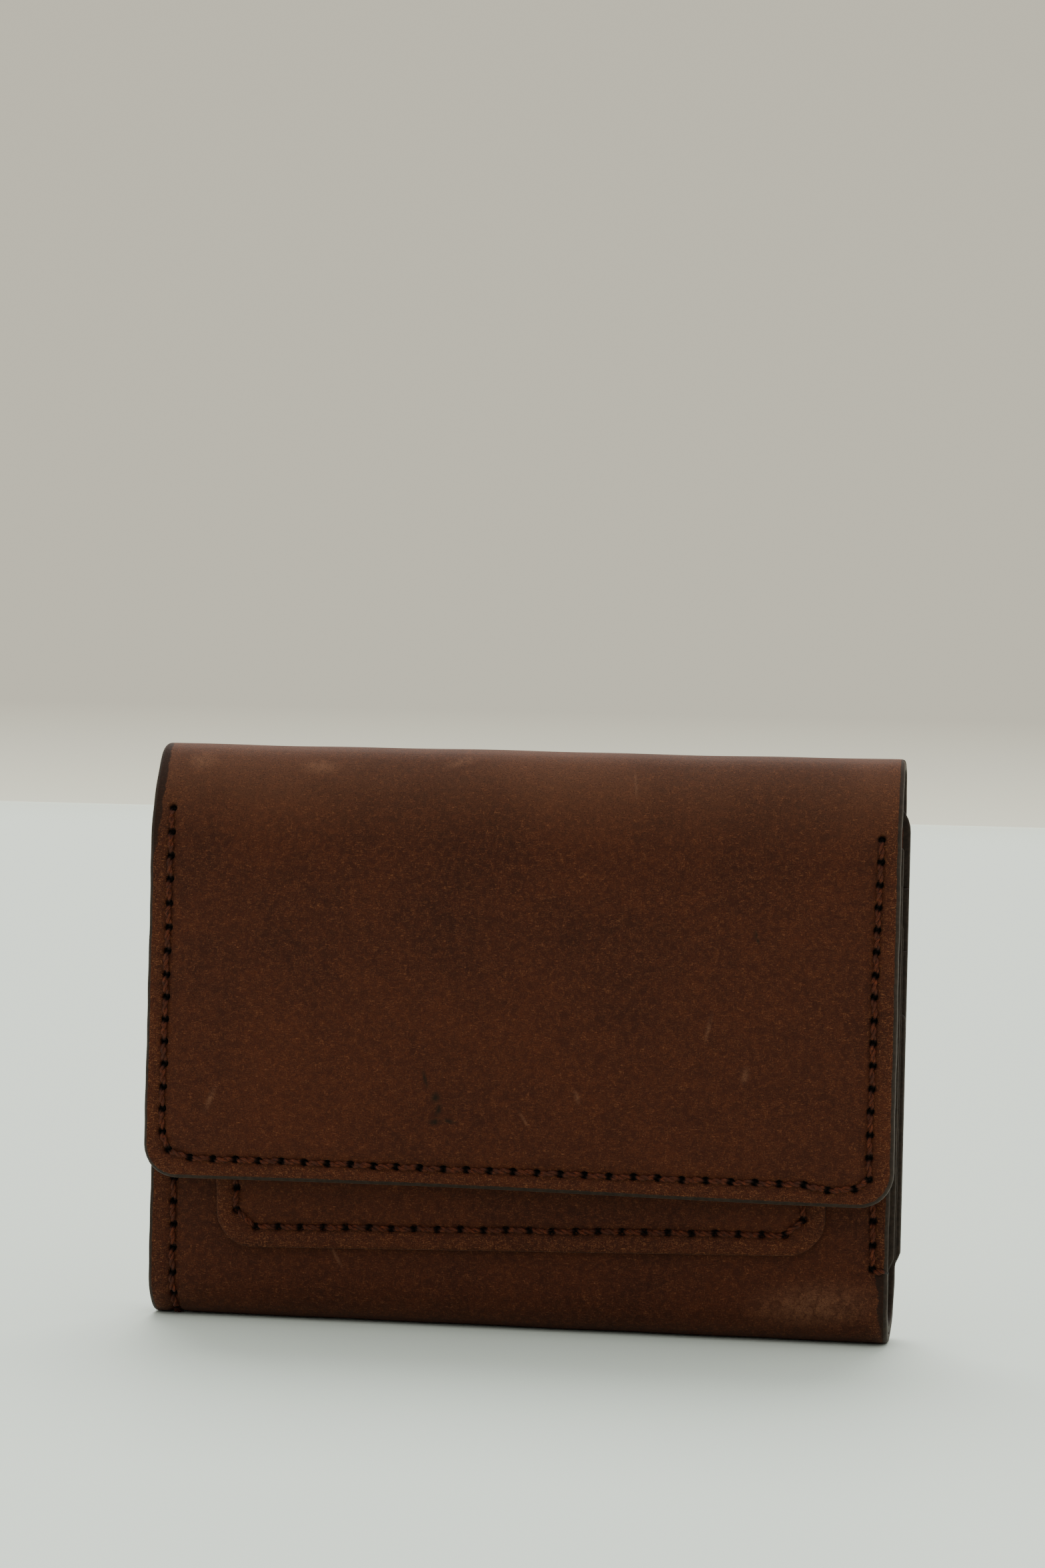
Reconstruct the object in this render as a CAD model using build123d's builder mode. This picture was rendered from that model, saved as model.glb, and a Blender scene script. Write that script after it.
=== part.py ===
"""A small trifold wallet in brown leather, closed and standing on its bottom fold.

The outer leather is one long strip: front panel, bottom fold, back panel, top fold and flap. It is
divided where it creases when the wallet opens, so that every stretch between two creases is a rigid
piece. Frame, in millimetres: X across the wallet, Y from the front to the back, Z up. The origin is
the middle of the base.
"""

import os
from math import asin, cos, radians, sin, sqrt, tan

from build123d import *

# Closed wallet
FRONT_WIDTH = 107.0
BACK_WIDTH = 107.8
HEIGHT = 83.5
THICKNESS = 18.0

# Thicknesses and gaps
OUTER = 1.5
LINING = 0.9
POCKET = 0.8
PATCH = 1.1
LAYER_GAP = 0.1
NOTE_GAP = 0.3
FLAP_GAP = 0.6
CORNER = 5.0
PROUD_EDGE = 0.5

# Flap
FLAP_BOTTOM = 20.4

# Folds: outer radii, and how far each crease opens
BOTTOM_RADIUS = 6.6
TOP_REAR_RADIUS = 5.5
SHOULDER_DROP = 15.0
TOP_TURN = 90.0
BOTTOM_TURN = 15.0
CREASE_ROOM = 0.05

# Front panel and what is sewn to it
FRONT_DROP = 11.0
LINING_SETBACK = 1.5
PATCH_WIDTH = 88.0
PATCH_HEIGHT = 46.0
PATCH_BOTTOM = 11.8
PATCH_SHIFT = 0.5
PATCH_TILT = 1.5
INNER_POCKET_DROP = 23.5

# Back panel and card slots
STACK_BOTTOM = 11.0
SLOT_DROP = 36.5
SLOT_STEP = 9.0
SLOT_FOOT_STEP = 4.5
SLOT_BAND = 11.0
SLOT_STEM_WIDTH = 94.0
SLOT_CORNER = 2.5
SLOT_SEAM_MARGIN = 1.5

# Closure
MAGNET_RADIUS = 6.0
MAGNET = 1.0
MAGNET_HEIGHT = 33.0
MAGNET_ROOM = 0.1

# Sewing
PITCH = 3.38
STITCH = 2.3
THREAD_WIDTH = 0.8
THREAD = 0.3
THREAD_ROOM = 0.05
SEAM_MARGIN = 3.0
SEAM_TOP = 2.5
SEAM_CUT_CORNER = 2.4
FLAP_SEAM_DROP_LEFT = 9.2
FLAP_SEAM_DROP_RIGHT = 11.4
RIGHT_SEAM_END = 11.1

# Heights of the top edges
FRONT_TOP = HEIGHT - FRONT_DROP
INNER_POCKET_TOP = HEIGHT - INNER_POCKET_DROP
SLOT_LOWER_TOP = HEIGHT - SLOT_DROP

# Faces of the layers, from the back of the wallet forwards
BACK_FACE = THICKNESS / 2
BACK_LINING_FACE = BACK_FACE - OUTER - NOTE_GAP - LINING
SLOT_PITCH = LAYER_GAP + POCKET
SLOT_LOWER_FACE = BACK_LINING_FACE - 3 * SLOT_PITCH
FLAP_FACE = -THICKNESS / 2
FLAP_LINING_FACE = FLAP_FACE + OUTER + LINING
PATCH_FACE = FLAP_LINING_FACE + FLAP_GAP
FRONT_FACE = PATCH_FACE + PATCH
FRONT_LINING_FACE = FRONT_FACE + OUTER + NOTE_GAP + LINING
INNER_POCKET_FACE = FRONT_LINING_FACE + LAYER_GAP + POCKET

# How far each lining's middle lies inside the middle of the outer leather
FLAP_LINING_DEPTH = (OUTER + LINING) / 2
LINING_DEPTH = FLAP_LINING_DEPTH + NOTE_GAP

# The top fold turns down to the flap in two arcs of an eighth of a turn: a tight crest, then a long
# shoulder. Together they are as deep as half the wallet and as tall as the shoulder's drop.
EIGHTH = sqrt(0.5)
SHOULDER_RADIUS = (EIGHTH * SHOULDER_DROP - (1 - EIGHTH) * THICKNESS / 2) / (2 * EIGHTH - 1)
CREST_RADIUS = (EIGHTH * THICKNESS / 2 - (1 - EIGHTH) * SHOULDER_DROP) / (2 * EIGHTH - 1)
CREST = (0.0, HEIGHT - CREST_RADIUS)
SHOULDER_SHIFT = EIGHTH * (SHOULDER_RADIUS - CREST_RADIUS)
SHOULDER = (CREST[0] + SHOULDER_SHIFT, CREST[1] - SHOULDER_SHIFT)
TOP_REAR = (BACK_FACE - TOP_REAR_RADIUS, HEIGHT - TOP_REAR_RADIUS)
LOW_REAR = (BACK_FACE - BOTTOM_RADIUS, BOTTOM_RADIUS)
LOW_FRONT = (FRONT_FACE + BOTTOM_RADIUS, BOTTOM_RADIUS)

# Creases: the edge of the strip's path that holds each one, and how far along that edge it is
FRONT_CREASE = (1, 0.5)
REAR_CREASE = (3, 0.5)
TOP_REAR_CREASE = (5, 0.5)
TOP_FRONT_CREASE = (8, 0.0)

ACROSS = Vector(1, 0, 0)


def fold_path(depth=0.0):
    """The strip's path, as seen along X, from the front panel's top edge round to the flap's bottom
    edge, at a depth inside the middle of the outer leather."""
    inset = OUTER / 2 + depth
    with BuildLine() as path:
        Line((FRONT_FACE + inset, FRONT_TOP), (FRONT_FACE + inset, BOTTOM_RADIUS))
        CenterArc(LOW_FRONT, BOTTOM_RADIUS - inset, 180, 90)
        Line((LOW_FRONT[0], inset), (LOW_REAR[0], inset))
        CenterArc(LOW_REAR, BOTTOM_RADIUS - inset, -90, 90)
        Line((BACK_FACE - inset, BOTTOM_RADIUS), (BACK_FACE - inset, TOP_REAR[1]))
        CenterArc(TOP_REAR, TOP_REAR_RADIUS - inset, 0, 90)
        Line((TOP_REAR[0], HEIGHT - inset), (CREST[0], HEIGHT - inset))
        CenterArc(CREST, CREST_RADIUS - inset, 90, 45)
        CenterArc(SHOULDER, SHOULDER_RADIUS - inset, 135, 45)
        Line((FLAP_FACE + inset, SHOULDER[1]), (FLAP_FACE + inset, FLAP_BOTTOM))
    return path.wire()


STRIP = fold_path()
FLAP_LINING_PATH = fold_path(FLAP_LINING_DEPTH)
LINING_PATH = fold_path(LINING_DEPTH)


def reach(path, crease, side=0, turn=TOP_TURN):
    """Distance along a path to a crease, or to the end of the leather before (-1) or after (1) it."""
    edge, share = crease
    lengths = [piece.length for piece in path.edges()]
    gap = OUTER / 2 * tan(radians(turn / 2)) + CREASE_ROOM
    return sum(lengths[:edge]) + share * lengths[edge] + side * gap


def stretch(path, start, end):
    """The part of a path between two distances along it."""
    return path.trim(start / path.length, end / path.length)


def on_strip(distance, x, across=False, inside=None):
    """Seat of a stitch: Z out of the leather, X along the strip or across it.

    It lies on the outer face, or inside by a depth below the strip's middle, facing inwards."""
    tangent = STRIP.tangent_at(distance, PositionMode.LENGTH)
    middle = STRIP.position_at(distance, PositionMode.LENGTH)
    along = Vector(0, tangent.X, tangent.Y)
    outward = along.cross(ACROSS)
    facing = outward if inside is None else -outward
    rise = OUTER / 2 if inside is None else -inside
    origin = Vector(x, middle.X, middle.Y) + outward * rise
    return Plane(origin, x_dir=ACROSS if across else along, z_dir=facing).location


def steps(start, end):
    """Middles of the stitches that share the way between two distances evenly."""
    count = max(1, round(abs(end - start) / PITCH))
    way = (end - start) / count
    return [start + way * (number + 0.5) for number in range(count)]


def sew(seats):
    """Lay one stitch of thread in each seat."""
    with Locations(*seats):
        Box(STITCH, THREAD_WIDTH, THREAD, align=(Align.CENTER, Align.CENTER, Align.MAX))


def bed(seats):
    """Press a shallow bed for each stitch into the leather."""
    with Locations(*seats):
        Box(STITCH + 2 * THREAD_ROOM, THREAD_WIDTH + 2 * THREAD_ROOM, 2 * THREAD, mode=Mode.SUBTRACT)


# Ends of the stretches of outer leather
FRONT_END = reach(STRIP, FRONT_CREASE, -1, BOTTOM_TURN)
FOLD_START = reach(STRIP, FRONT_CREASE, 1, BOTTOM_TURN)
FOLD_END = reach(STRIP, REAR_CREASE, -1, BOTTOM_TURN)
BACK_START = reach(STRIP, REAR_CREASE, 1, BOTTOM_TURN)
BACK_END = reach(STRIP, TOP_REAR_CREASE, -1)
TOP_START = reach(STRIP, TOP_REAR_CREASE, 1)
TOP_END = reach(STRIP, TOP_FRONT_CREASE, -1)
FLAP_START = reach(STRIP, TOP_FRONT_CREASE, 1)


def height_on_back(height):
    """Distance along the strip to a height on the straight part of the back panel."""
    return sum(edge.length for edge in STRIP.edges()[:4]) + height - BOTTOM_RADIUS


def height_on_flap(height):
    """Distance along the strip to a height on the flap, measured down its straight or curved part."""
    below = height - FLAP_BOTTOM
    straight = SHOULDER[1] - FLAP_BOTTOM
    if below <= straight:
        return STRIP.length - below
    rise = (height - SHOULDER[1]) / SHOULDER_RADIUS
    middle = SHOULDER_RADIUS - OUTER / 2
    return STRIP.length - straight - middle * asin(rise)


def round_corners(part, radius, axis=Axis.Y):
    """Round the lower corners of a panel."""
    fillet(part.edges().filter_by(axis).group_by(Axis.Z)[0], radius)


# Seams

FRONT_SEAM = FRONT_WIDTH / 2 - SEAM_MARGIN
BACK_SEAM = BACK_WIDTH / 2 - SEAM_MARGIN
FLAP_ROW = STRIP.length - SEAM_MARGIN
FRONT_TOP_STITCH = SEAM_TOP + LINING_SETBACK
FRONT_RIGHT_END = FRONT_TOP - RIGHT_SEAM_END
BACK_TOP_STITCH = height_on_back(TOP_REAR[1])
BACK_RIGHT_START = height_on_back(RIGHT_SEAM_END)


def column(x, start, end, inside=None):
    """Seats of a row of stitches along the strip."""
    return [on_strip(distance, x, inside=inside) for distance in steps(start, end)]


def flap_seam(inside=None):
    """Seats round the flap: up both sides, along the bottom edge and across its two corners."""
    corner = FLAP_ROW - SEAM_CUT_CORNER
    left = column(-BACK_SEAM, corner, height_on_flap(HEIGHT - FLAP_SEAM_DROP_LEFT), inside)
    right = column(BACK_SEAM, corner, height_on_flap(HEIGHT - FLAP_SEAM_DROP_RIGHT), inside)
    half_row = BACK_SEAM - SEAM_CUT_CORNER
    row = [on_strip(FLAP_ROW, x, True, inside) for x in steps(-half_row, half_row)]
    across = [on_strip(FLAP_ROW - SEAM_CUT_CORNER / 2, side * (BACK_SEAM - SEAM_CUT_CORNER / 2), True,
                       inside) * Rotation(0, 0, side * (45 if inside is None else -45))
              for side in (-1, 1)]
    return left + right + row + across


def flat_row(half, height, face):
    """Seats of a row across a flat face that looks forwards."""
    return [Plane((x, face, height), x_dir=ACROSS, z_dir=(0, -1, 0)).location
            for x in steps(-half, half)]


def flat_column(x, start, end, face, way):
    """Seats up a flat face inside the wallet; way is the face's direction along Y."""
    return [Plane((x, face, height), x_dir=(0, 0, 1), z_dir=(0, way, 0)).location
            for height in steps(start, end)]


def patch_seam(plane):
    """Seats round three sides of the patch pocket, on the plane of its face."""
    side = PATCH_WIDTH / 2 - SEAM_MARGIN
    half_row = side - SEAM_CUT_CORNER
    row = [plane.location * Pos(x, SEAM_MARGIN, 0) for x in steps(-half_row, half_row)]
    columns = [plane.location * Pos(x, height, 0) * Rotation(0, 0, 90)
               for x in (-side, side)
               for height in steps(SEAM_MARGIN + SEAM_CUT_CORNER, PATCH_HEIGHT)]
    across = [plane.location * Pos(x * (side - SEAM_CUT_CORNER / 2), SEAM_MARGIN + SEAM_CUT_CORNER / 2, 0)
              * Rotation(0, 0, 45 * x) for x in (-1, 1)]
    return row + columns + across


FLAP_SEATS = flap_seam()
FLAP_LINING_SEATS = flap_seam(FLAP_LINING_DEPTH + LINING / 2)
FRONT_LEFT_SEATS = column(-FRONT_SEAM, FRONT_TOP_STITCH, FRONT_END)
FRONT_RIGHT_SEATS = column(FRONT_SEAM, FRONT_TOP_STITCH, FRONT_RIGHT_END)
FOLD_SEATS = column(-FRONT_SEAM, FOLD_START, FOLD_END)
BACK_LEFT_SEATS = column(-BACK_SEAM, BACK_START, BACK_TOP_STITCH)
BACK_RIGHT_SEATS = column(BACK_SEAM, BACK_RIGHT_START, BACK_TOP_STITCH)

PATCH_TURN = radians(PATCH_TILT)
PATCH_PLANE = Plane((PATCH_SHIFT, FRONT_FACE, PATCH_BOTTOM), x_dir=(cos(PATCH_TURN), 0, sin(PATCH_TURN)),
                    z_dir=(0, -1, 0))
PATCH_SEATS = patch_seam(PATCH_PLANE.offset(PATCH))

INSIDE_START = STACK_BOTTOM + SEAM_TOP
BANDS = ([INSIDE_START] + [SLOT_LOWER_TOP + number * SLOT_STEP for number in range(3)]
         + [TOP_REAR[1] - SEAM_TOP])


def band_seats(x):
    """Seats up one side of the back panel's inside, as a list for each slot and one for the lining."""
    faces = [SLOT_LOWER_FACE + number * SLOT_PITCH for number in range(3)] + [BACK_LINING_FACE]
    return [flat_column(x, BANDS[number], BANDS[number + 1], face, -1)
            for number, face in enumerate(faces)]


BANDS_LEFT = band_seats(-BACK_SEAM)
BANDS_RIGHT = band_seats(BACK_SEAM)
BAND_SEATS = [left + right for left, right in zip(BANDS_LEFT, BANDS_RIGHT)]
BACK_INSIDE_LEFT = sum(BANDS_LEFT, [])
BACK_INSIDE_RIGHT = sum(BANDS_RIGHT, [])
BACK_LINING_SEATS = BAND_SEATS[3]

SLOT_ROWS = [flat_row(BACK_SEAM - SEAM_CUT_CORNER, STACK_BOTTOM + SEAM_MARGIN, SLOT_LOWER_FACE)]
for number in (1, 2):
    foot = STACK_BOTTOM + number * SLOT_FOOT_STEP
    SLOT_ROWS.append(flat_row(SLOT_STEM_WIDTH / 2 - SLOT_CORNER, foot + SLOT_SEAM_MARGIN,
                              SLOT_LOWER_FACE + number * SLOT_PITCH))


def front_inside(x):
    """Seats up one side of the front panel's inside: on the pocket, then on the lining above it."""
    pocket = flat_column(x, INSIDE_START, INNER_POCKET_TOP, INNER_POCKET_FACE, 1)
    lining = flat_column(x, INNER_POCKET_TOP, FRONT_TOP - FRONT_TOP_STITCH, FRONT_LINING_FACE, 1)
    return pocket, lining


POCKET_LEFT, LINING_LEFT = front_inside(-FRONT_SEAM)
POCKET_RIGHT, LINING_RIGHT = front_inside(FRONT_SEAM)
INNER_POCKET_SEATS = POCKET_LEFT + POCKET_RIGHT
FRONT_LINING_SEATS = LINING_LEFT + LINING_RIGHT
FRONT_INSIDE_LEFT = POCKET_LEFT + LINING_LEFT
FRONT_INSIDE_RIGHT = POCKET_RIGHT + LINING_RIGHT


def finish(piece, name):
    """Label a piece and write it to its own file."""
    piece.part.label = name
    export_step(piece.part, f"parts/{name}.step")


os.makedirs("parts", exist_ok=True)

# Outer leather

with BuildPart() as back_outer_leather:
    with BuildSketch(Plane.YZ):
        trace(stretch(STRIP, BACK_START, BACK_END), OUTER)
    extrude(amount=BACK_WIDTH / 2, both=True)
    bed(BACK_LEFT_SEATS + BACK_RIGHT_SEATS)
finish(back_outer_leather, "back_outer_leather")

with BuildPart() as top_fold_leather:
    with BuildSketch(Plane.YZ):
        trace(stretch(STRIP, TOP_START, TOP_END), OUTER)
    extrude(amount=BACK_WIDTH / 2, both=True)
finish(top_fold_leather, "top_fold_leather")

MAGNET_SEAT = on_strip(height_on_flap(MAGNET_HEIGHT), 0, inside=OUTER / 2)

with BuildPart() as flap_outer_leather:
    with BuildSketch(Plane.YZ):
        trace(stretch(STRIP, FLAP_START, STRIP.length), OUTER)
    extrude(amount=BACK_WIDTH / 2, both=True)
    round_corners(flap_outer_leather, CORNER)
    with Locations(MAGNET_SEAT):
        Cylinder(MAGNET_RADIUS + MAGNET_ROOM, MAGNET, align=(Align.CENTER, Align.CENTER, Align.MAX),
                 mode=Mode.SUBTRACT)
    bed(FLAP_SEATS)
finish(flap_outer_leather, "flap_outer_leather")

with BuildPart() as bottom_fold_leather:
    with BuildSketch(Plane.YZ):
        trace(stretch(STRIP, FOLD_START, FOLD_END), OUTER)
    extrude(amount=FRONT_WIDTH / 2, both=True)
    bed(FOLD_SEATS)
finish(bottom_fold_leather, "bottom_fold_leather")

FRONT_MAGNET_SEAT = on_strip(FRONT_TOP - MAGNET_HEIGHT, 0, inside=OUTER / 2)

with BuildPart() as front_outer_leather:
    with BuildSketch(Plane.YZ):
        trace(stretch(STRIP, 0, FRONT_END), OUTER)
    extrude(amount=FRONT_WIDTH / 2, both=True)
    with Locations(FRONT_MAGNET_SEAT):
        Cylinder(MAGNET_RADIUS + MAGNET_ROOM, MAGNET, align=(Align.CENTER, Align.CENTER, Align.MAX),
                 mode=Mode.SUBTRACT)
    bed(FRONT_LEFT_SEATS + FRONT_RIGHT_SEATS)
finish(front_outer_leather, "front_outer_leather")

# Linings. The inner layers of the front and back panels stand a little proud on the right.

FRONT_SIDE = Plane.YZ.offset(-FRONT_WIDTH / 2)
BACK_SIDE = Plane.YZ.offset(-BACK_WIDTH / 2)
FRONT_LAYER_WIDTH = FRONT_WIDTH + PROUD_EDGE
BACK_LAYER_WIDTH = BACK_WIDTH + PROUD_EDGE

with BuildPart() as flap_lining:
    with BuildSketch(Plane.YZ):
        flap_lining_start = reach(FLAP_LINING_PATH, TOP_FRONT_CREASE, 1)
        trace(stretch(FLAP_LINING_PATH, flap_lining_start, FLAP_LINING_PATH.length), LINING)
    extrude(amount=BACK_WIDTH / 2, both=True)
    round_corners(flap_lining, CORNER)
    bed(FLAP_LINING_SEATS)
finish(flap_lining, "flap_lining")

with BuildPart() as front_lining:
    with BuildSketch(FRONT_SIDE):
        front_lining_end = reach(LINING_PATH, FRONT_CREASE, -1, BOTTOM_TURN)
        trace(stretch(LINING_PATH, LINING_SETBACK, front_lining_end), LINING)
    extrude(amount=FRONT_LAYER_WIDTH)
    bed(FRONT_LINING_SEATS)
finish(front_lining, "front_lining")

with BuildPart() as bottom_fold_lining:
    with BuildSketch(FRONT_SIDE):
        fold_lining_start = reach(LINING_PATH, FRONT_CREASE, 1, BOTTOM_TURN)
        fold_lining_end = reach(LINING_PATH, REAR_CREASE, -1, BOTTOM_TURN)
        trace(stretch(LINING_PATH, fold_lining_start, fold_lining_end), LINING)
    extrude(amount=FRONT_WIDTH)
finish(bottom_fold_lining, "bottom_fold_lining")

with BuildPart() as back_lining:
    with BuildSketch(BACK_SIDE):
        back_lining_start = reach(LINING_PATH, REAR_CREASE, 1, BOTTOM_TURN)
        back_lining_end = sum(edge.length for edge in LINING_PATH.edges()[:5])
        trace(stretch(LINING_PATH, back_lining_start, back_lining_end), LINING)
    extrude(amount=BACK_LAYER_WIDTH)
    fillet(back_lining.edges().filter_by(Axis.Y).group_by(Axis.Z)[-1], CORNER)
    bed(BACK_LINING_SEATS)
finish(back_lining, "back_lining")

# Pockets


def facing_front(x, face):
    """Plane of a flat face that looks forwards, with its origin at the wallet's base."""
    return Plane((x, face, 0), x_dir=ACROSS, z_dir=(0, -1, 0))


for number, name in enumerate(("card_slot_middle", "card_slot_upper"), 1):
    face = SLOT_LOWER_FACE + number * SLOT_PITCH
    foot = STACK_BOTTOM + number * SLOT_FOOT_STEP
    top = SLOT_LOWER_TOP + number * SLOT_STEP
    with BuildPart() as card_slot:
        with BuildSketch(facing_front(PROUD_EDGE / 2, face + POCKET)) as outline:
            with Locations((0, top)):
                Rectangle(BACK_LAYER_WIDTH, SLOT_BAND, align=(Align.CENTER, Align.MAX))
                Rectangle(SLOT_STEM_WIDTH, top - foot, align=(Align.CENTER, Align.MAX))
            fillet(outline.vertices().group_by(Axis.Z)[0], SLOT_CORNER)
        extrude(amount=POCKET)
        bed(BAND_SEATS[number] + SLOT_ROWS[number])
    finish(card_slot, name)

with BuildPart() as card_slot_lower:
    with BuildSketch(facing_front(PROUD_EDGE / 2, SLOT_LOWER_FACE + POCKET)) as outline:
        with Locations((0, STACK_BOTTOM)):
            Rectangle(BACK_LAYER_WIDTH, SLOT_LOWER_TOP - STACK_BOTTOM, align=(Align.CENTER, Align.MIN))
        fillet(outline.vertices().group_by(Axis.Z)[0], CORNER)
    extrude(amount=POCKET)
    bed(BAND_SEATS[0] + SLOT_ROWS[0])
finish(card_slot_lower, "card_slot_lower")

with BuildPart() as front_inner_pocket:
    with BuildSketch(facing_front(PROUD_EDGE / 2, INNER_POCKET_FACE)) as outline:
        with Locations((0, STACK_BOTTOM)):
            Rectangle(FRONT_LAYER_WIDTH, INNER_POCKET_TOP - STACK_BOTTOM,
                      align=(Align.CENTER, Align.MIN))
        fillet(outline.vertices().group_by(Axis.Z)[0], CORNER)
    extrude(amount=POCKET)
    bed(INNER_POCKET_SEATS)
finish(front_inner_pocket, "front_inner_pocket")

with BuildPart() as patch_pocket:
    with BuildSketch(PATCH_PLANE) as outline:
        Rectangle(PATCH_WIDTH, PATCH_HEIGHT, align=(Align.CENTER, Align.MIN))
        fillet(outline.vertices(), CORNER)
    extrude(amount=PATCH)
    bed(PATCH_SEATS)
finish(patch_pocket, "patch_pocket")

# Magnets

for name, seat in (("flap_magnet", MAGNET_SEAT), ("front_magnet", FRONT_MAGNET_SEAT)):
    with BuildPart() as magnet:
        with Locations(seat):
            Cylinder(MAGNET_RADIUS, MAGNET, align=(Align.CENTER, Align.CENTER, Align.MAX))
    finish(magnet, name)

# Threads

THREADS = {
    "flap_thread": FLAP_SEATS + FLAP_LINING_SEATS,
    "patch_thread": PATCH_SEATS,
    "front_thread_left": FRONT_LEFT_SEATS + FRONT_INSIDE_LEFT,
    "front_thread_right": FRONT_RIGHT_SEATS + FRONT_INSIDE_RIGHT,
    "bottom_fold_thread": FOLD_SEATS,
    "back_thread_left": BACK_LEFT_SEATS + BACK_INSIDE_LEFT,
    "back_thread_right": BACK_RIGHT_SEATS + BACK_INSIDE_RIGHT,
    "card_slot_thread": SLOT_ROWS[0] + SLOT_ROWS[1] + SLOT_ROWS[2],
}

for name, seats in THREADS.items():
    with BuildPart() as thread:
        sew(seats)
    finish(thread, name)
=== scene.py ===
"""Looks for the trifold wallet: worn nubuck leather, painted edges and twisted hand-sewn thread.

The leather is drawn flat, as the strip it is cut from, and then laid along the folded path of the
CAD strip. Drawing units are millimetres: x across the wallet, s along the strip from the front
panel's top edge round to the flap's bottom edge, h out of the strip's middle.
"""

import math
import random

import bpy
import numpy as np
from mathutils import Matrix, Vector
from mathutils.geometry import delaunay_2d_cdt


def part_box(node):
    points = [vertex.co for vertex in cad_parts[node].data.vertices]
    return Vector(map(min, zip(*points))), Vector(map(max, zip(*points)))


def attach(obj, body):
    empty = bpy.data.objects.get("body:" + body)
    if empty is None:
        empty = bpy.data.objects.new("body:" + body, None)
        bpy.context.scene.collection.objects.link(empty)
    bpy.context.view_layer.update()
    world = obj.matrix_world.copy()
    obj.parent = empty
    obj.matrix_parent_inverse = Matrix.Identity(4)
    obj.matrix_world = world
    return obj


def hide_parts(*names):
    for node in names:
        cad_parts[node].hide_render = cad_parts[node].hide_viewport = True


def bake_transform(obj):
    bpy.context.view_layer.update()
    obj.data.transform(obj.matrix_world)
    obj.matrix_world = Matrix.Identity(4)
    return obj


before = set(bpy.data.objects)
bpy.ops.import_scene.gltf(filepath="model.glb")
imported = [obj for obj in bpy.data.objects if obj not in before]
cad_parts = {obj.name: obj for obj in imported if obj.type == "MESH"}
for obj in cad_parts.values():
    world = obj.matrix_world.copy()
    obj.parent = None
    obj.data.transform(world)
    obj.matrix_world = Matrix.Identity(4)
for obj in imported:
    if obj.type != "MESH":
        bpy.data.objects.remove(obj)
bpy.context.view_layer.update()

MM = 0.001
LEATHER = 1.5
LINING = 0.9
POCKET = 0.8
PITCH = 3.38
HOLE_JITTER = 0.07
PIT_RADIUS, PIT_DEPTH = 0.7, 1.1
PROUD = 0.75
rng = random.Random(7)


def corner(node, end, axis):
    """One face of a CAD node's box, in millimetres."""
    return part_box(node)[end][axis] / MM


# The folded path of the strip's middle, from the CAD boxes. The folds' outer radii are LOW at the
# bottom and REAR at the top of the back. The flap eases down from the top in two arcs of an eighth of
# a turn, TIGHT and then LONG, which take its face 9 mm forward and 15 mm down.

HEIGHT = corner("top_fold_leather", 1, 2)
BACK_FACE = corner("back_outer_leather", 1, 1)
FLAP_FACE = corner("flap_outer_leather", 0, 1)
FLAP_BOTTOM = corner("flap_outer_leather", 0, 2)
FRONT_FACE = corner("front_outer_leather", 0, 1)
FRONT_TOP = corner("front_outer_leather", 1, 2)
PATCH_FACE = corner("patch_pocket", 0, 1)
HALF = LEATHER / 2
LOW, REAR, TIGHT, LONG = 6.6, 5.5, 4.757, 19.243
SHOULDER = (FLAP_FACE + LONG, HEIGHT - TIGHT - (LONG - TIGHT) * math.sqrt(0.5))

SEGMENTS = (
    ("line", (FRONT_FACE + HALF, FRONT_TOP), (FRONT_FACE + HALF, LOW)),
    ("arc", (FRONT_FACE + LOW, LOW), LOW - HALF, 180, 270),
    ("line", (FRONT_FACE + LOW, HALF), (BACK_FACE - LOW, HALF)),
    ("arc", (BACK_FACE - LOW, LOW), LOW - HALF, -90, 0),
    ("line", (BACK_FACE - HALF, LOW), (BACK_FACE - HALF, HEIGHT - REAR)),
    ("arc", (BACK_FACE - REAR, HEIGHT - REAR), REAR - HALF, 0, 90),
    ("line", (BACK_FACE - REAR, HEIGHT - HALF), (0.0, HEIGHT - HALF)),
    ("arc", (0.0, HEIGHT - TIGHT), TIGHT - HALF, 90, 135),
    ("arc", SHOULDER, LONG - HALF, 135, 180),
    ("line", (FLAP_FACE + HALF, SHOULDER[1]), (FLAP_FACE + HALF, FLAP_BOTTOM)),
)


def segment_length(segment):
    if segment[0] == "line":
        return math.dist(segment[1], segment[2])
    return segment[2] * math.radians(segment[4] - segment[3])


STARTS = np.concatenate([[0], np.cumsum([segment_length(one) for one in SEGMENTS])])
STRIP = STARTS[-1]


def strip(s):
    """Points on the strip's middle and the directions out of it, in the YZ plane."""
    s = np.atleast_1d(np.asarray(s, float))
    which = np.clip(np.searchsorted(STARTS, s, side="right") - 1, 0, len(SEGMENTS) - 1)
    point, out = np.zeros((len(s), 2)), np.zeros((len(s), 2))
    for number, segment in enumerate(SEGMENTS):
        here = which == number
        way = s[here] - STARTS[number]
        if segment[0] == "line":
            first, last = np.array(segment[1]), np.array(segment[2])
            step = (last - first) / segment_length(segment)
            point[here] = first + way[:, None] * step
            out[here] = (step[1], -step[0])
        else:
            angle = math.radians(segment[3]) + way / segment[2]
            out[here] = np.stack([np.cos(angle), np.sin(angle)], 1)
            point[here] = np.array(segment[1]) + segment[2] * out[here]
    return point, out


def on_strip(x, s, h):
    point, out = strip(s)
    yz = point + out * np.atleast_1d(h)[:, None]
    return np.stack([np.broadcast_to(x, len(yz)), yz[:, 0], yz[:, 1]], 1)


on_strip.flip = True


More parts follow.
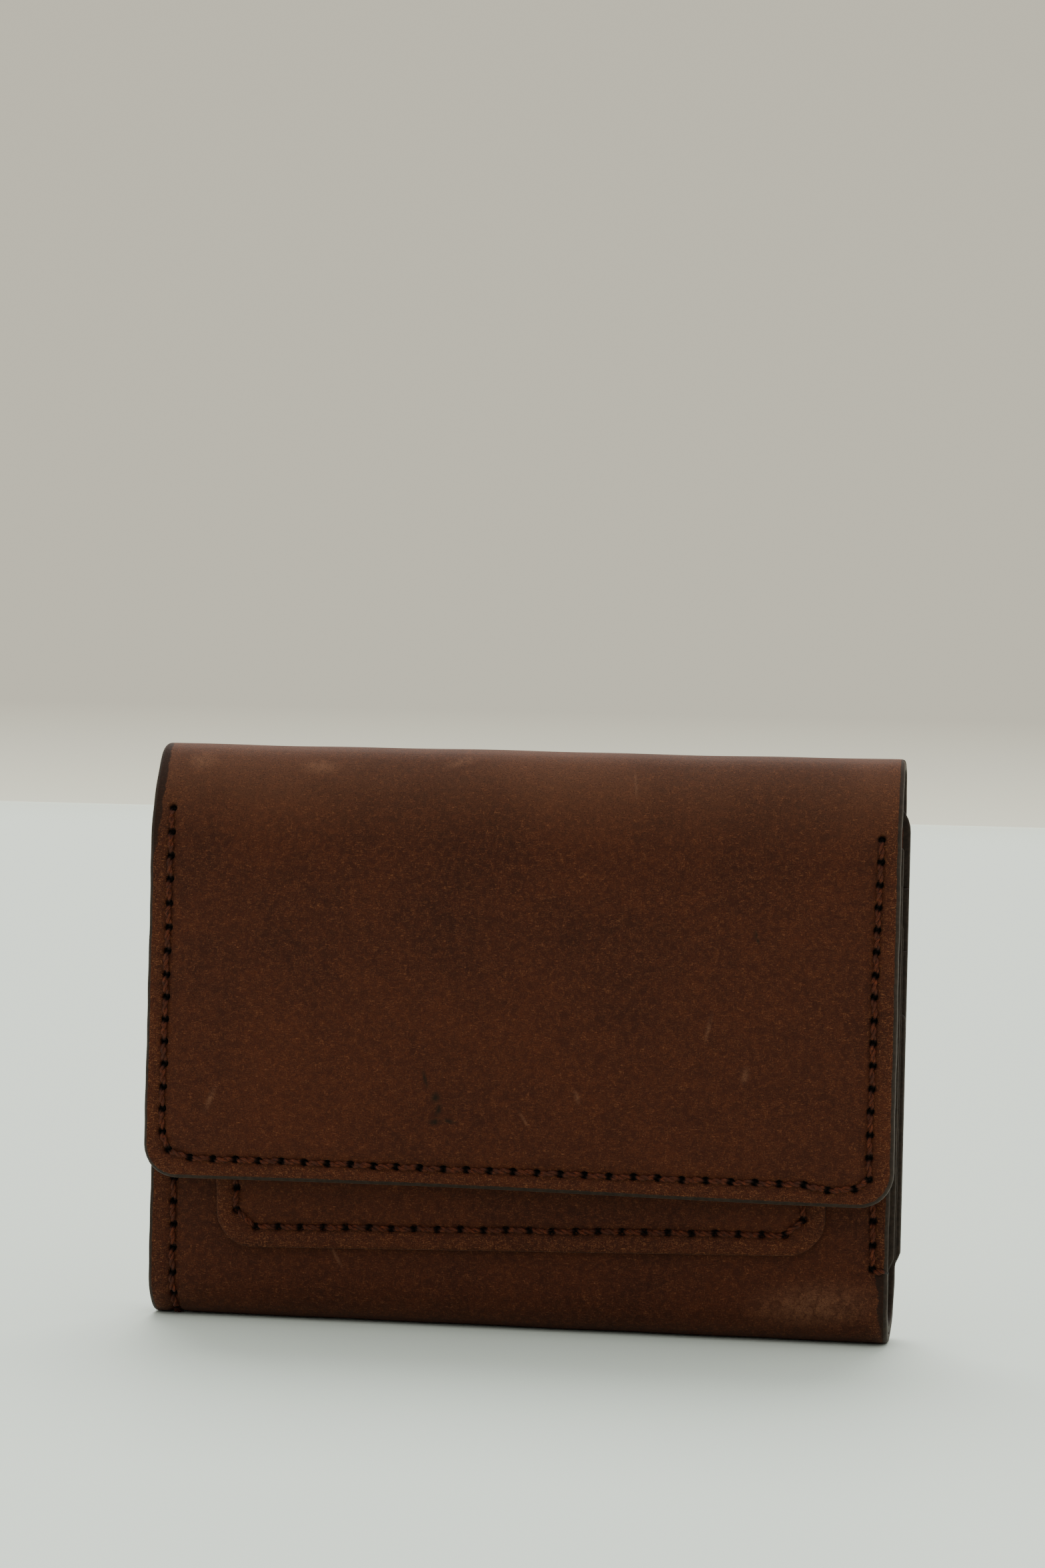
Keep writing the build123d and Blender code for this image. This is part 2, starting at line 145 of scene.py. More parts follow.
def flat(face, way, tilt=0.0, origin=(0.0, 0.0)):
    """A flat layer: x across, s up from the base, h out of its face, which looks along way times Y."""
    c, n = math.cos(math.radians(tilt)), math.sin(math.radians(tilt))

    def place(x, s, h):
        x, s, h = np.broadcast_arrays(*np.atleast_1d(x, s, h))
        return np.stack([origin[0] + x * c - s * n, face + way * h, origin[1] + x * n + s * c], 1)

    place.flip = way > 0
    return place


def back_s(z):
    """Where a height on the back panel is along the strip."""
    return STARTS[4] + z - LOW


def flap_s(z):
    """Where a height on the flap is along the strip."""
    if z <= SHOULDER[1]:
        return STRIP - (z - FLAP_BOTTOM)
    return STARTS[9] - (LONG - HALF) * math.asin((z - SHOULDER[1]) / LONG)


def smooth(share):
    return share * share * (3 - 2 * share)


def swell(x, s):
    """The leather's slight unevenness, in millimetres."""
    return (0.05 * np.sin(x * 0.11 + 1.3 + np.sin(s * 0.05)) * np.sin(s * 0.083 + 0.4)
            + 0.03 * np.sin(x * 0.31 + s * 0.17))


# Seams: the holes in order, each pair of neighbours joined by one stitch

def holes_along(points):
    """Holes a stitch apart along a path, each a little out of place."""
    holes = [np.array(points[0], float)]
    for first, last in zip(points, points[1:]):
        first, last = np.array(first, float), np.array(last, float)
        count = max(1, round(float(np.linalg.norm(last - first)) / PITCH))
        for number in range(1, count + 1):
            holes.append(first + (last - first) * number / count)
    return [hole + (rng.uniform(-HOLE_JITTER, HOLE_JITTER), rng.uniform(-HOLE_JITTER, HOLE_JITTER))
            for hole in holes]


FLAP_SEAM = holes_along([
    (51.2, flap_s(72.2)), (50.7, flap_s(50)), (50.5, flap_s(27.5)), (50.5, flap_s(24.4)),
    (48.5, flap_s(22.9)), (44.8, flap_s(22.6)), (41.4, flap_s(23.3)), (0, flap_s(23.5)),
    (-47.0, flap_s(23.7)), (-50.3, flap_s(24.8)), (-51.3, flap_s(27.4)), (-51.1, flap_s(50)),
    (-50.9, flap_s(74.2))])
LEFT_SEAM = holes_along([(-50.4, 4.0), (-50.2, STARTS[1]), (-50.2, STARTS[4]), (-50.9, back_s(17)),
                         (-50.9, back_s(77.5))])
FRONT_SEAM = holes_along([(51.0, 4.0), (51.1, FRONT_TOP - 11.4)])
BACK_SEAM = holes_along([(50.9, back_s(11.1)), (50.9, back_s(77.5))])

PATCH_HALF, PATCH_TALL = 44.0, 46.0
PATCH_SEAM = holes_along([(-41.0, PATCH_TALL - 1.5), (-41.0, 5.4), (-38.2, 3.0), (38.4, 3.0),
                          (41.0, 5.2), (41.0, PATCH_TALL - 1.5)])

OUTER_HOLES = np.array(FLAP_SEAM + LEFT_SEAM + FRONT_SEAM + BACK_SEAM)


def segment_distance(x, s, stitches):
    """Distance from each point to the nearest stitch line."""
    points = np.stack([x, s], 1)
    nearest = np.full(len(points), 1e3)
    for first, last in stitches:
        way = last - first
        share = np.clip(((points - first) @ way) / (way @ way), 0, 1)
        nearest = np.minimum(nearest, np.linalg.norm(points - first - share[:, None] * way, axis=1))
    return nearest


def hole_distance(x, s, holes):
    nearest = np.full(len(x), 1e3)
    for hole in holes:
        nearest = np.minimum(nearest, np.hypot(x - hole[0], s - hole[1]))
    return nearest


class Sewn:
    """A face with seams: a groove where the thread pulls the leather down, and a pit at each hole."""

    def __init__(self, base, seams, groove=0.3, waves=0.0, way=1):
        self.base, self.groove, self.waves, self.way = base, groove, waves, way
        self.stitches = [pair for seam in seams for pair in zip(seam, seam[1:])]
        self.holes = [hole for seam in seams for hole in seam]

    def height(self, x, s):
        h = self.base(x, s) + self.waves * swell(x, s)
        if self.stitches:
            pull = self.groove * np.exp(-(segment_distance(x, s, self.stitches) / 0.85) ** 2)
            pull = pull + 0.12 * np.exp(-(hole_distance(x, s, self.holes) / 1.3) ** 2)
            h = h - self.way * pull
        return h

    def pit(self, x, s):
        if not self.holes:
            return np.zeros(len(x))
        return 1 - smooth(np.clip((hole_distance(x, s, self.holes) - 0.3) / (PIT_RADIUS - 0.3), 0, 1))


def level(value):
    """A flat face at one height."""
    return lambda x, s: np.full(len(x), float(value))


def tucked(value, out):
    """A lining's face, thickened near its sewn sides so that the layers meet there."""
    def base(x, s):
        return value + out * smooth(np.clip((np.abs(x) - 44) / 5, 0, 1))
    return base


# Sheets of leather

OUTLINE_STEP = 0.8


def rounded(left, right, low, high, radii):
    """Outline of a rectangle, counter-clockwise from its lower left corner, with four corner radii."""
    centres = [(left, low, 1, 1, 180), (right, low, -1, 1, 270), (right, high, -1, -1, 0),
               (left, high, 1, -1, 90)]
    points = []
    for (x, s, dx, ds, start), radius in zip(centres, radii):
        if radius <= 0:
            points.append((x, s))
            continue
        count = max(3, round(radius * 1.6 / OUTLINE_STEP))
        for number in range(count + 1):
            angle = math.radians(start + 90 * number / count)
            points.append((x + dx * radius + radius * math.cos(angle),
                           s + ds * radius + radius * math.sin(angle)))
    return resample(points)


def resample(points):
    """Share each long side of an outline into equal steps."""
    out = []
    for first, last in zip(points, points[1:] + points[:1]):
        count = max(1, round(math.dist(first, last) / OUTLINE_STEP))
        out += [(first[0] + (last[0] - first[0]) * number / count,
                 first[1] + (last[1] - first[1]) * number / count) for number in range(count)]
    return out


def fray(outline, amount, keep):
    """Make a cut edge slightly uneven, leaving the ends that meet the next sheet as they are."""
    out = []
    for x, s in outline:
        if s not in keep:
            x += amount * math.sin(s * 0.35 + x) * 0.6 + amount * math.sin(s * 1.1 + 2 * x) * 0.4
        out.append((x, s))
    return out


def triangulate(outline, inner):
    """Triangles inside an outline. Returns points, triangles and the outline's point numbers."""
    points = [Vector(p) for p in outline] + [Vector(p) for p in inner]
    count = len(outline)
    edges = [(number, (number + 1) % count) for number in range(count)]
    made, _, faces, origin, _, _ = delaunay_2d_cdt(points, edges, [], 1, 1e-6)
    place = {old: new for new, olds in enumerate(origin) for old in olds}
    return np.array([tuple(p) for p in made]), faces, [place[number] for number in range(count)]


def inside(points, outline):
    x, y = points[:, 0], points[:, 1]
    result = np.zeros(len(points), bool)
    for (x1, y1), (x2, y2) in zip(outline, outline[1:] + outline[:1]):
        if y1 != y2:
            crosses = ((y1 > y) != (y2 > y)) & (x < (x2 - x1) * (y - y1) / (y2 - y1) + x1)
            result ^= crosses
    return result


def outline_distance(points, outline, cuts, free_only=True):
    pairs = [(np.array(a), np.array(b)) for a, b in zip(outline, outline[1:] + outline[:1])
             if not free_only or not any(a[1] == b[1] == cut for cut in cuts)]
    return segment_distance(points[:, 0], points[:, 1], pairs)


def stain(x, s, edge):
    """How far inside the dark burnished band a point is: it shows where the edges are folded."""
    over_top = np.clip((s - 165) / 4, 0, 1) * np.clip((190 - s) / 8, 0, 1)
    under = np.clip((s - 60.5) / 1.5, 0, 1) * np.clip((90 - s) / 8, 0, 1)
    narrowing = 1.9 - 0.1 * np.clip(s - 61, 0, 14)
    band = np.where(x < 0, over_top * 1.6 + under * 0.5, over_top * 0.35 + under * narrowing)
    return np.where(band > 0.05, band - edge, -1.0)


def painted_fold_shade(x, s, edge):
    """Painted shade: the lining is darkened right across the inside of the bottom fold."""
    return np.clip(np.minimum(s - 60, 94 - s) / 3, -1, 1)


def make_mesh(name, points, faces, material, attributes=None, uv=None):
    mesh = bpy.data.meshes.new(name)
    mesh.from_pydata((np.asarray(points) * MM).tolist(), [], faces)
    mesh.update()
    mesh.polygons.foreach_set("use_smooth", [True] * len(mesh.polygons))
    for key, values in (attributes or {}).items():
        values = np.asarray(values, np.float32)
        kind = "FLOAT_VECTOR" if values.ndim == 2 else "FLOAT"
        made = mesh.attributes.new(key, kind, "POINT")
        made.data.foreach_set("vector" if values.ndim == 2 else "value", values.ravel())
    if uv is not None:
        layer = mesh.uv_layers.new(name="UVMap")
        loops = np.zeros(len(mesh.loops), np.int32)
        mesh.loops.foreach_get("vertex_index", loops)
        layer.data.foreach_set("uv", np.asarray(uv, np.float32)[loops].ravel())
    mesh.materials.append(material)
    made = bpy.data.objects.new(name, mesh)
    bpy.context.scene.collection.objects.link(made)
    return made


RING_DEPTHS = (0.07, 0.16, 0.3, 0.5, 0.8, 1.25, 1.8)
HOLE_RINGS = ((0.15, 5), (0.32, 9), (0.46, 12), (0.6, 14), (0.74, 14), (0.98, 14))
TOP_GRID, UNDER_GRID = 1.2, 3.0
EDGE_OF_WALL = -0.4
UNDERSIDE = 40.0
BURNISHED_FROM, BURNISHED_WIDTH = 45, 0.95
UV_SIZE = 260


def inward_ways(loop):
    """Unit directions into the sheet at each point of its outline."""
    def normal(way):
        turned = np.stack([-way[:, 1], way[:, 0]], 1)
        return turned / np.linalg.norm(turned, axis=1)[:, None]

    inward = normal(np.roll(loop, -1, 0) - loop) + normal(loop - np.roll(loop, 1, 0))
    return inward / np.maximum(np.linalg.norm(inward, axis=1), 1e-6)[:, None]


def face_points(outline, cuts, holes, grid, fine):
    """Points inside an outline: a staggered grid, rings along its free edges and round its holes."""
    loop = np.array(outline)
    low, high = loop.min(0), loop.max(0)
    gx, gs = np.meshgrid(np.arange(low[0] + grid / 2, high[0], grid),
                         np.arange(low[1] + grid / 2, high[1], grid))
    gx = gx + (np.arange(len(gx)) % 2)[:, None] * grid / 2
    even = np.stack([gx.ravel(), gs.ravel()], 1)
    even = even[inside(even, outline)]
    keep = outline_distance(even, outline, cuts) > (2.2 if fine else 1.0)
    keep &= outline_distance(even, outline, cuts, False) > 0.45
    keep &= hole_distance(even[:, 0], even[:, 1], holes) > 1.25
    parts = [even[keep]]
    if fine:
        inward = inward_ways(loop)
        for depth in RING_DEPTHS:
            ring = loop + inward * depth
            away = outline_distance(ring, outline, cuts)
            good = (np.abs(away - depth) < 0.3 * depth + 0.02) & inside(ring, outline)
            good &= outline_distance(ring, outline, cuts, False) > 0.06
            good &= hole_distance(ring[:, 0], ring[:, 1], holes) > 0.95
            parts.append(ring[good])
    for hole in holes:
        for radius, number in HOLE_RINGS:
            angles = np.arange(number) * 2 * math.pi / number + radius
            parts.append(hole + radius * np.stack([np.cos(angles), np.sin(angles)], 1))
    points = np.concatenate(parts)
    return points[inside(points, outline)] if holes else points


def wall_faces(outline, rows, cuts, flip):
    """Quads between rows of points round an outline, left open where the next sheet goes on."""
    faces = []
    for first, second in zip(rows, rows[1:]):
        for number in range(len(outline)):
            after = (number + 1) % len(outline)
            if any(outline[number][1] == outline[after][1] == cut for cut in cuts):
                continue
            quad = (first[number], second[number], second[after], first[after])
            faces.append(tuple(reversed(quad)) if flip else quad)
    return faces


def sheet(name, outline, place, top, bottom, material, rims=(0.5, 0.3), cuts=(), stain_and_shade=None,
          burnished=False):
    """A sheet of leather between two sewn faces, with rounded and painted edges where it is free.

    Its mesh carries what the leather shader reads: the flat place of each point, its distance from
    the edge, how deep it is in a hole, and how far inside a dark band: burnished stain on the outer
    leather, and painted shade inside the bottom fold on the linings."""
    loop, count = np.array(outline), len(outline)
    low, high = loop.min(0), loop.max(0)
    points, faces, parts, edges, pits, heights, rims_at = [], [], [], [], [], [], []
    total = 0
    for face, sign, rim_radius, grid, fine in ((top, 1, rims[0], TOP_GRID, True),
                                               (bottom, -1, rims[1], UNDER_GRID, len(bottom.holes) > 0)):
        own = [h for h in face.holes if low[0] < h[0] < high[0] and low[1] < h[1] < high[1]]
        inner = face_points(outline, cuts, own, grid, fine)
        flat_points, triangles, rim = triangulate(outline, inner.tolist())
        edge = outline_distance(flat_points, outline, cuts)
        x, s = flat_points[:, 0], flat_points[:, 1]
        inset = np.clip(rim_radius - edge, 0, rim_radius)
        drop = rim_radius - np.sqrt(np.maximum(rim_radius ** 2 - inset ** 2, 0))
        pit = face.pit(x, s)
        h = face.height(x, s) - sign * (drop + PIT_DEPTH * pit)
        points.append(place(x, s, h))
        turn = place.flip != (sign < 0)
        faces += [tuple(total + v for v in (reversed(t) if turn else t)) for t in triangles]
        parts.append(np.stack([x, s, np.full(len(x), 0.0 if sign > 0 else UNDERSIDE)], 1))
        edges.append(edge - BURNISHED_WIDTH * (x > BURNISHED_FROM) if burnished else edge)
        pits.append(pit)
        heights.append(h)
        rims_at.append([total + v for v in rim])
        total += len(x)
    upper, lower = rims_at
    all_heights = np.concatenate(heights)
    rows = [upper]
    for share in (0.33, 0.67):
        h = all_heights[upper] + (all_heights[lower] - all_heights[upper]) * share
        points.append(place(loop[:, 0], loop[:, 1], h))
        parts.append(np.stack([loop[:, 0], loop[:, 1], np.full(count, UNDERSIDE / 2 * share)], 1))
        edges.append(np.full(count, EDGE_OF_WALL))
        pits.append(np.zeros(count))
        rows.append(list(range(total, total + count)))
        total += count
    faces += wall_faces(outline, rows + [lower], cuts, place.flip)
    parts, edges = np.concatenate(parts), np.concatenate(edges)
    # The stain attribute holds the dark band: burnished stain on the outer leather, painted shade inside the
    # bottom fold on the linings.
    attributes = {"flat": parts, "edge": edges, "pit": np.concatenate(pits),
                  "stain": (stain_and_shade(parts[:, 0], parts[:, 1], edges) if stain_and_shade
                            else np.full(len(edges), -1.0))}
    uv = np.stack([0.5 + parts[:, 0] / UV_SIZE, parts[:, 1] / UV_SIZE], 1)
    return make_mesh(name, np.concatenate(points), faces, material, attributes, uv)


# Thread

STITCH_STEPS, PLY_SIDES = 20, 8
PLY_RADIUS, PLY_OFFSET, TWIST = 0.25, 0.2, 2.5
DIVE, DIVE_LENGTH = 1.35, 0.85


def unit(vectors):
    return vectors / np.linalg.norm(vectors, axis=-1)[..., None]


def drawn(low, high, count):
    return np.array([rng.uniform(low, high) for _ in range(count)])


def stitch_paths(first, last, place, face):
    """Each stitch's middle line over the leather, its directions ahead, aside and up, and its ends."""
    number = len(first)
    way = last - first
    length = np.linalg.norm(way, axis=1)
    way /= length[:, None]
    side = np.stack([-way[:, 1], way[:, 0]], 1)
    lean, bow, lift = drawn(0.06, 0.16, number), drawn(-0.06, 0.06, number), drawn(-0.03, 0.07, number)
    share = np.linspace(0, 1, STITCH_STEPS)
    across = lean[:, None] * (1 - 2 * share)[None] + bow[:, None] * np.sin(math.pi * share)[None]
    centre = (first[:, None] + (last - first)[:, None] * share[None, :, None]
              + side[:, None] * across[..., None])
    ends = np.minimum(share, 1 - share)[None] * length[:, None]
    dive = np.clip(1 - ends / DIVE_LENGTH, 0, 1) ** 1.5
    base = face.height(centre[..., 0].ravel(), centre[..., 1].ravel()).reshape(number, STITCH_STEPS)
    height = base + face.way * (0.2 + lift[:, None] + 0.1 * np.sin(math.pi * share)[None] - DIVE * dive)

    def placed(spots):
        return place(spots[..., 0].ravel(), spots[..., 1].ravel(),
                     height.ravel()).reshape(number, STITCH_STEPS, 3)

    middle = placed(centre)
    aside = unit(placed(centre + side[:, None] * 0.05) - middle)
    ahead = unit(np.gradient(middle, axis=1))
    return middle, ahead, aside, unit(np.cross(ahead, aside)), length, ends


def loose_fibre(middle, ahead, aside, up):
    """A thin bent strip that stands off the thread: two points at each of four places along it."""
    root = middle + aside * rng.uniform(-0.3, 0.3)
    heading = unit(aside * rng.choice((-1, 1)) * rng.uniform(0.3, 1)
                   + ahead * rng.uniform(-1, 1) + up * rng.uniform(0, 0.5))
    bend = drawn(-0.3, 0.3, 3)
    reach = rng.uniform(0.35, 0.95)
    broad = np.cross(heading, up)
    broad /= max(np.linalg.norm(broad), 1e-6)
    strip_points = []
    for share in (0, 1 / 3, 2 / 3, 1):
        spot = root + heading * reach * share + bend * share * share * reach + up * 0.2
        width = 0.022 * (1 - 0.8 * share)
        strip_points += [spot - broad * width, spot + broad * width]
    return np.array(strip_points)


def thread(name, pairs, place, face, material, fuzz=0):
    """Two-ply thread over each pair of holes, dipping into them, with some loose fibres a stitch."""
    first, last = np.array([pair[0] for pair in pairs]), np.array([pair[1] for pair in pairs])
    middle, ahead, aside, up, length, ends = stitch_paths(first, last, place, face)
    number = len(pairs)
    phase, fat = drawn(0, math.pi, number), drawn(0.94, 1.06, number)
    sunk = smooth(np.clip((0.78 - ends) / 0.3, 0, 1))
    run = np.linspace(0, 1, STITCH_STEPS) * length[:, None]
    ring = np.arange(PLY_SIDES) * 2 * math.pi / PLY_SIDES
    ply_uv = np.stack(np.broadcast_arrays(
        ring / (2 * math.pi), (run + np.arange(number)[:, None] * 1.7)[..., None]), -1).reshape(-1, 2)
    points, faces, deep, uv = [], [], [], []
    total = 0
    for ply in (0, 1):
        turn = 2 * math.pi * run / TWIST + phase[:, None] + ply * math.pi
        axis = middle + PLY_OFFSET * (np.cos(turn)[..., None] * aside
                                      + 0.8 * np.sin(turn)[..., None] * up)
        angle = turn[..., None] + ring
        tube = (axis[:, :, None] + PLY_RADIUS * fat[:, None, None, None]
                * (np.cos(angle)[..., None] * aside[:, :, None]
                   + 0.85 * np.sin(angle)[..., None] * up[:, :, None]))
        points.append(tube.reshape(-1, 3))
        deep.append(np.repeat(sunk.ravel(), PLY_SIDES))
        uv.append(ply_uv)
        for stitch in range(number):
            for step in range(STITCH_STEPS - 1):
                row = total + (stitch * STITCH_STEPS + step) * PLY_SIDES
                for k in range(PLY_SIDES):
                    after = (k + 1) % PLY_SIDES
                    faces.append((row + k, row + after, row + PLY_SIDES + after, row + PLY_SIDES + k))
        total += number * STITCH_STEPS * PLY_SIDES
    for _ in range(number * fuzz):
        at_step = rng.randrange(number), rng.randrange(2, STITCH_STEPS - 2)
        points.append(loose_fibre(middle[at_step], ahead[at_step], aside[at_step], up[at_step]))
        uv.append(np.zeros((8, 2)))
        deep.append(np.zeros(8))
        faces += [(total + 2 * k, total + 2 * k + 1, total + 2 * k + 3, total + 2 * k + 2)
                  for k in range(3)]
        total += 8
    return make_mesh(name, np.concatenate(points), faces, material, {"pit": np.concatenate(deep)},
                     np.concatenate(uv))


# Materials

class Nodes:
    """Builds a shader's node tree with plain numbers set on the sockets."""

    def __init__(self, name):
        self.material = bpy.data.materials.new(name)
        self.material.use_nodes = True
        self.tree = self.material.node_tree
        self.shader = self.tree.nodes["Principled BSDF"]

    def put(self, socket, value):
        if isinstance(value, bpy.types.NodeSocket):
            self.tree.links.new(value, socket)
        elif isinstance(value, tuple) and socket.type == "RGBA":
            socket.default_value = (*value, 1.0)
        else:
            socket.default_value = value

    def node(self, kind, inputs=(), **settings):
        made = self.tree.nodes.new(kind)
        for key, value in settings.items():
            setattr(made, key, value)
        for key, value in inputs:
            self.put(made.inputs[key], value)
        return made

    def attribute(self, name):
        return self.node("ShaderNodeAttribute", attribute_name=name)

    def noise(self, vector, scale, detail=3.0, rough=0.55, twist=0.0):
        made = self.node("ShaderNodeTexNoise", (("Vector", vector), ("Scale", scale),
                                                ("Detail", detail), ("Roughness", rough),
                                                ("Distortion", twist)))
        return made.outputs["Fac"]

    def ramp(self, value, low, high, to_low=0.0, to_high=1.0, smooth_step=True):
        made = self.node("ShaderNodeMapRange",
                         (("Value", value), ("From Min", low), ("From Max", high),
                          ("To Min", to_low), ("To Max", to_high)),
                         interpolation_type="SMOOTHSTEP" if smooth_step else "LINEAR")
        return made.outputs["Result"]

    def calc(self, first, second, how="ADD", clamp=False):
        made = self.node("ShaderNodeMath", ((0, first), (1, second)), operation=how, use_clamp=clamp)
        return made.outputs[0]

    def mix(self, share, first, second):
        made = self.node("ShaderNodeMix", data_type="RGBA")
        self.put(made.inputs[0], share)
        self.put(made.inputs[6], first)
        self.put(made.inputs[7], second)
        return made.outputs[2]

    def stretched(self, vector, scale, turn=(0, 0, 0)):
        made = self.node("ShaderNodeMapping", (("Vector", vector), ("Scale", scale), ("Rotation", turn)))
        return made.outputs["Vector"]

    def spot(self, vector, x, s, wide, tall, turn):
        """1 in the middle of an oval mark, fading to 0 at its rim."""
        moved = self.node("ShaderNodeVectorMath", ((0, vector), (1, (x, s, 0))), operation="SUBTRACT")
        turned = self.stretched(moved.outputs[0], (1, 1, 1), (0, 0, math.radians(turn)))
        scaled = self.node("ShaderNodeVectorMath", ((0, turned), (1, (1 / wide, 1 / tall, 0))),
                           operation="MULTIPLY")
        far = self.node("ShaderNodeVectorMath", ((0, scaled.outputs[0]),), operation="LENGTH")
        return self.ramp(far.outputs["Value"], 1.0, 0.0)

    def spots(self, vector, marks):
        """1 in the middle of each of the oval marks, fading to 0 between them."""
        made = self.spot(vector, *marks[0])
        for mark in marks[1:]:
            made = self.calc(made, self.spot(vector, *mark), "MAXIMUM")
        return made


def times(colour, factor):
    return tuple(channel * factor for channel in colour)


# Colours of the leather, as linear RGB
DARK, MID, LIGHT = (0.0275, 0.0058, 0.0017), (0.0715, 0.0154, 0.0043), (0.230, 0.083, 0.031)
# The worn colour also paints light over the top fold, and the burnished colour also paints shade inside the
# bottom fold.
WORN_AND_TOP_LIGHT, SMUDGE, BURNISHED_AND_SHADE = (0.170, 0.074, 0.038), (0.0125, 0.0065, 0.0022), (0.013, 0.006, 0.0035)
PAINT, HOLE_SHADE = (0.019, 0.012, 0.008), (0.004, 0.0025, 0.002)

# Marks on the outer leather: x, s, half width, half height in millimetres, turn in degrees
MARKS_LIGHT = ((-44.2, flap_s(32.3), 0.7, 3.0, -22), (9.0, flap_s(34.5), 0.6, 1.6, 20),
               (32.8, flap_s(38.4), 0.9, 1.8, -10), (27.5, flap_s(45), 0.5, 3.0, -12),
               (16.0, flap_s(79), 0.35, 3.0, 8), (-30.0, flap_s(80.5), 4.0, 1.8, 0),
               (-9.7, flap_s(81.6), 3.4, 1.2, 20), (1.5, flap_s(31), 0.4, 2.0, 35),
               (-26.0, 62.5, 0.4, 3.0, 30), (43.0, 66.5, 13.0, 4.5, 5), (-47.5, flap_s(81), 3.0, 2.2, 0))
MARKS_DARK = ((-12.9, flap_s(36.4), 0.5, 1.9, 15), (-11.3, flap_s(33.7), 1.1, 1.3, 0),
              (-10.9, flap_s(31.9), 0.7, 1.4, -20), (-11.3, flap_s(30.2), 1.6, 0.8, 5),
              (-9.2, flap_s(30.4), 1.5, 0.6, -8), (33.8, flap_s(58.3), 0.6, 0.9, 0),
              (34.2, flap_s(57.4), 0.4, 0.7, 20))


